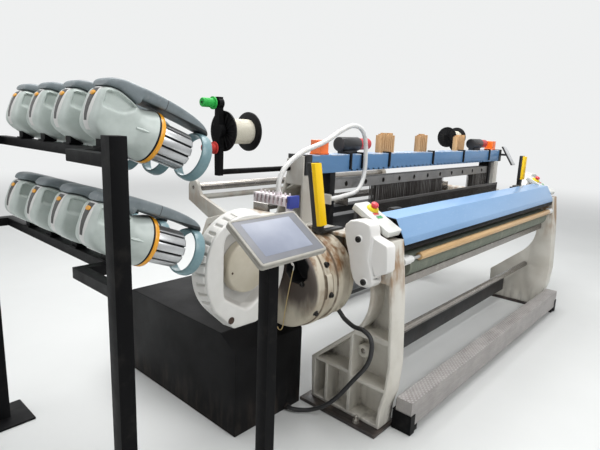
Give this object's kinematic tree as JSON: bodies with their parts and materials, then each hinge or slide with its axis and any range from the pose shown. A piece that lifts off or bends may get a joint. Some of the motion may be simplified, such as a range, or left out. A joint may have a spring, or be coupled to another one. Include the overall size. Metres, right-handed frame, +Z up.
{
  "type": "power loom",
  "caption": "Rapier weaving machine with side frames, rollers, sley, heald frames, operator terminal and a stand of weft feeders.",
  "frame": {"origin": "centre of the four floor anchors, at floor level", "axes": "+X to the right as the weaver stands, along the machine's width; +Y from the weaver to the warp side; +Z up"},
  "size_m": [5.166, 2.2205, 1.7367],
  "materials": {
    "left_side_frame": "warm light grey paint, oil-stained near the top",
    "right_side_frame": "warm light grey paint, oil-stained near the top",
    "foot_plates": "dark oily steel",
    "cross_beams": "dark grey paint",
    "step_beam": "scuffed aluminium",
    "step_brackets": "black paint",
    "breast_beam": "black paint",
    "breast_cover": "light blue paint",
    "temple_plate": "dull steel",
    "temples": "dark steel",
    "press_roller": "varnished wood",
    "roller_brackets": "white plastic",
    "take_up_roller": "grey-green gritty cover",
    "cloth_guide_bar": "polished steel",
    "cloth_shaft": "steel",
    "sley_bearings": "grey paint",
    "sley_beam": "grey metal",
    "reed": "dark steel",
    "heald_frame_1": "bare aluminium",
    "heald_frame_2": "bare aluminium",
    "heald_frame_3": "bare aluminium",
    "heald_frame_4": "bare aluminium",
    "heald_guides": "black plastic",
    "uprights": "light grey paint",
    "heald_beam": "blue paint",
    "beam_end_caps": "black plastic",
    "harness_clamps": "black paint",
    "wooden_spacers": "plain wood",
    "signal_lamps": "orange plastic",
    "selvedge_motors": "black",
    "left_drive_housing": "stained light grey paint",
    "right_drive_housing": "stained light grey paint",
    "left_rapier_cover": "white plastic",
    "right_rapier_cover": "white plastic",
    "left_rapier_wheel": "machined aluminium",
    "right_rapier_wheel": "machined aluminium",
    "hub_covers": "beige plastic",
    "gearbox_cover": "white plastic",
    "weft_selector": "white plastic",
    "control_boxes": "light grey plastic",
    "left_stop_button": "red plastic",
    "right_stop_button": "red plastic",
    "light_curtains": "yellow paint",
    "warp_beam": "aluminium",
    "whip_roller": "steel",
    "back_rest_brackets": "grey paint",
    "warp_stop_bars": "steel",
    "motor_casing": "dark grey paint",
    "terminal_post": "black paint",
    "terminal": "light grey plastic",
    "left_spool": "cream yarn on black flanges",
    "right_spool": "cream yarn on black flanges",
    "spool_stands": "black paint",
    "feeder_stand": "black paint",
    "feeder_housings": "pale grey-green plastic",
    "feeder_lids": "grey-blue plastic",
    "feeder_drums": "satin metal",
    "feeder_flyers": "orange-yellow plastic",
    "white_hose": "light grey plastic",
    "black_hose": "black rubber"
  },
  "bodies": {
    "machine": {"left_side_frame": "left_side_frame", "right_side_frame": "right_side_frame", "foot_plates": "foot_plates", "cross_beams": "cross_beams", "step_beam": "step_beam", "step_brackets": "step_brackets", "breast_beam": "breast_beam", "breast_cover": "breast_cover", "temple_plate": "temple_plate", "temples": "temples", "roller_brackets": "roller_brackets", "cloth_guide_bar": "cloth_guide_bar", "sley_bearings": "sley_bearings", "heald_guides": "heald_guides", "uprights": "uprights", "heald_beam": "heald_beam", "beam_end_caps": "beam_end_caps", "harness_clamps": "harness_clamps", "wooden_spacers": "wooden_spacers", "signal_lamps": "signal_lamps", "selvedge_motors": "selvedge_motors", "left_drive_housing": "left_drive_housing", "right_drive_housing": "right_drive_housing", "left_rapier_cover": "left_rapier_cover", "right_rapier_cover": "right_rapier_cover", "hub_covers": "hub_covers", "gearbox_cover": "gearbox_cover", "weft_selector": "weft_selector", "control_boxes": "control_boxes", "light_curtains": "light_curtains", "back_rest_brackets": "back_rest_brackets", "warp_stop_bars": "warp_stop_bars", "motor_casing": "motor_casing", "terminal_post": "terminal_post", "spool_stands": "spool_stands", "feeder_stand": "feeder_stand", "feeder_housings": "feeder_housings", "feeder_lids": "feeder_lids", "feeder_drums": "feeder_drums", "feeder_flyers": "feeder_flyers", "white_hose": "white_hose", "black_hose": "black_hose"},
    "sley": {"sley_beam": "sley_beam", "reed": "reed"},
    "press_roller_body": {"press_roller": "press_roller"},
    "take_up_roller_body": {"take_up_roller": "take_up_roller"},
    "cloth_shaft_body": {"cloth_shaft": "cloth_shaft"},
    "warp_beam_body": {"warp_beam": "warp_beam"},
    "whip_roller_body": {"whip_roller": "whip_roller"},
    "left_wheel": {"left_rapier_wheel": "left_rapier_wheel"},
    "right_wheel": {"right_rapier_wheel": "right_rapier_wheel"},
    "left_button": {"left_stop_button": "left_stop_button"},
    "right_button": {"right_stop_button": "right_stop_button"},
    "terminal_body": {"terminal": "terminal"},
    "left_spool_body": {"left_spool": "left_spool"},
    "right_spool_body": {"right_spool": "right_spool"},
    "heald_1": {"heald_frame_1": "heald_frame_1"},
    "heald_2": {"heald_frame_2": "heald_frame_2"},
    "heald_3": {"heald_frame_3": "heald_frame_3"},
    "heald_4": {"heald_frame_4": "heald_frame_4"}
  },
  "joints": [
    {"name": "sley_rocking", "type": "hinge", "parent": "machine", "child": "sley", "pos_m": [0, -0.12, 0.56], "axis": [1, 0, 0], "range_deg": [0, 14]},
    {"name": "heald_frame_1_lift", "type": "slide", "parent": "machine", "child": "heald_1", "axis": [0, 0, 1], "range_m": [-0.04, 0.04]},
    {"name": "heald_frame_2_lift", "type": "slide", "parent": "machine", "child": "heald_2", "axis": [0, 0, 1], "range_m": [-0.04, 0.04]},
    {"name": "heald_frame_3_lift", "type": "slide", "parent": "machine", "child": "heald_3", "axis": [0, 0, 1], "range_m": [-0.04, 0.04]},
    {"name": "heald_frame_4_lift", "type": "slide", "parent": "machine", "child": "heald_4", "axis": [0, 0, 1], "range_m": [-0.04, 0.04]},
    {"name": "take_up_turn", "type": "hinge", "parent": "machine", "child": "take_up_roller_body", "pos_m": [0, -0.665, 0.878], "axis": [1, 0, 0], "continuous": true},
    {"name": "press_roller_turn", "type": "hinge", "parent": "machine", "child": "press_roller_body", "pos_m": [0, -0.735, 0.92932], "axis": [1, 0, 0], "continuous": true},
    {"name": "cloth_shaft_turn", "type": "hinge", "parent": "machine", "child": "cloth_shaft_body", "pos_m": [0, -0.574, 0.395], "axis": [1, 0, 0], "continuous": true},
    {"name": "warp_beam_turn", "type": "hinge", "parent": "machine", "child": "warp_beam_body", "pos_m": [0, 0.7, 0.5], "axis": [1, 0, 0], "continuous": true},
    {"name": "whip_roller_turn", "type": "hinge", "parent": "machine", "child": "whip_roller_body", "pos_m": [0, 1.1, 1.11], "axis": [1, 0, 0], "continuous": true},
    {"name": "left_wheel_turn", "type": "hinge", "parent": "machine", "child": "left_wheel", "pos_m": [-2.01, -0.27, 0.95], "axis": [0, 1, 0], "range_deg": [0, 200]},
    {"name": "right_wheel_turn", "type": "hinge", "parent": "machine", "child": "right_wheel", "pos_m": [2.01, -0.27, 0.95], "axis": [0, 1, 0], "range_deg": [-200, 0]},
    {"name": "left_button_press", "type": "slide", "parent": "machine", "child": "left_button", "axis": [0, 0.4695, -0.8829], "range_m": [0, 0.005], "stiffness_N_per_m": 2000},
    {"name": "right_button_press", "type": "slide", "parent": "machine", "child": "right_button", "axis": [0, 0.4695, -0.8829], "range_m": [0, 0.005], "stiffness_N_per_m": 2000},
    {"name": "terminal_tilt", "type": "hinge", "parent": "machine", "child": "terminal_body", "pos_m": [-2.47, -0.943, 1.224], "axis": [0.9994, 0.0349, 0], "range_deg": [-20, 20]},
    {"name": "left_spool_turn", "type": "hinge", "parent": "machine", "child": "left_spool_body", "pos_m": [-1.88, -0.06, 1.56], "axis": [1, 0, 0], "continuous": true},
    {"name": "right_spool_turn", "type": "hinge", "parent": "machine", "child": "right_spool_body", "pos_m": [0.73, 0.022, 1.55], "axis": [1, 0, 0], "continuous": true}
  ],
  "couplings": [
    {"joint": "press_roller_turn", "follows": "take_up_turn", "ratio": -3.0233},
    {"joint": "right_wheel_turn", "follows": "left_wheel_turn", "ratio": -1}
  ]
}
